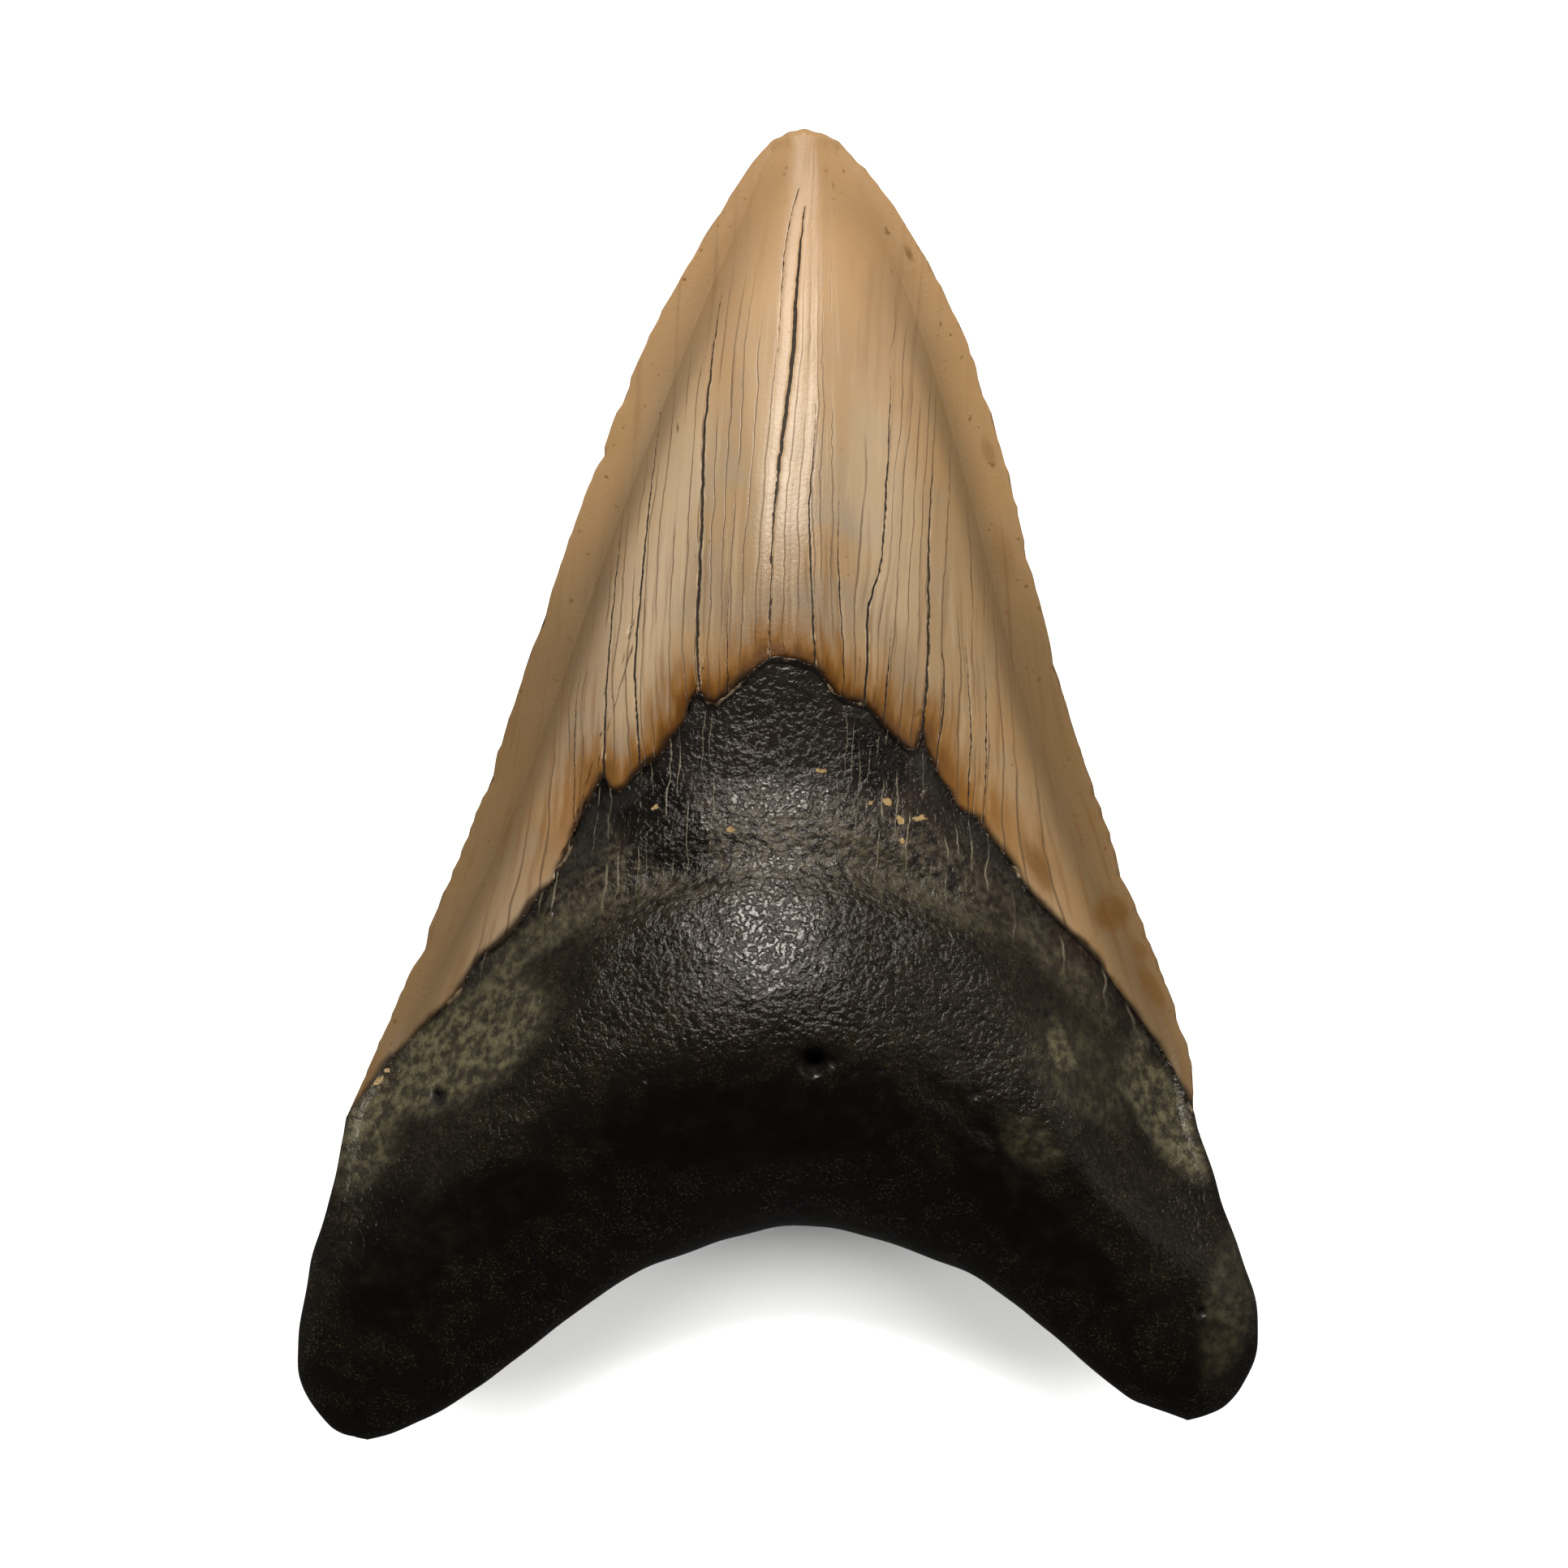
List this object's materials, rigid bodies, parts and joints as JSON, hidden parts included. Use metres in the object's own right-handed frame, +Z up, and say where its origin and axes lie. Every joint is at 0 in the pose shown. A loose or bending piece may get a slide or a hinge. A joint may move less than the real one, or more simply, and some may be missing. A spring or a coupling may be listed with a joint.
{
  "type": "fossil megalodon tooth",
  "caption": "Triangular fossil shark tooth with a cracked tan enamel crown, worn scalloped edges and a thick dark two-lobed root, lying on its flatter side.",
  "frame": {"origin": "on the resting plane, under the centre of the tooth's outline box", "axes": "+X across the tooth, to the right of its tongue side; +Y along the tooth from the root to the tip; +Z up, out of the tongue side"},
  "size_m": [0.088, 0.1206, 0.025],
  "materials": {
    "fossil": "satin"
  },
  "bodies": {
    "root": {"tooth": "fossil"}
  },
  "joints": []
}
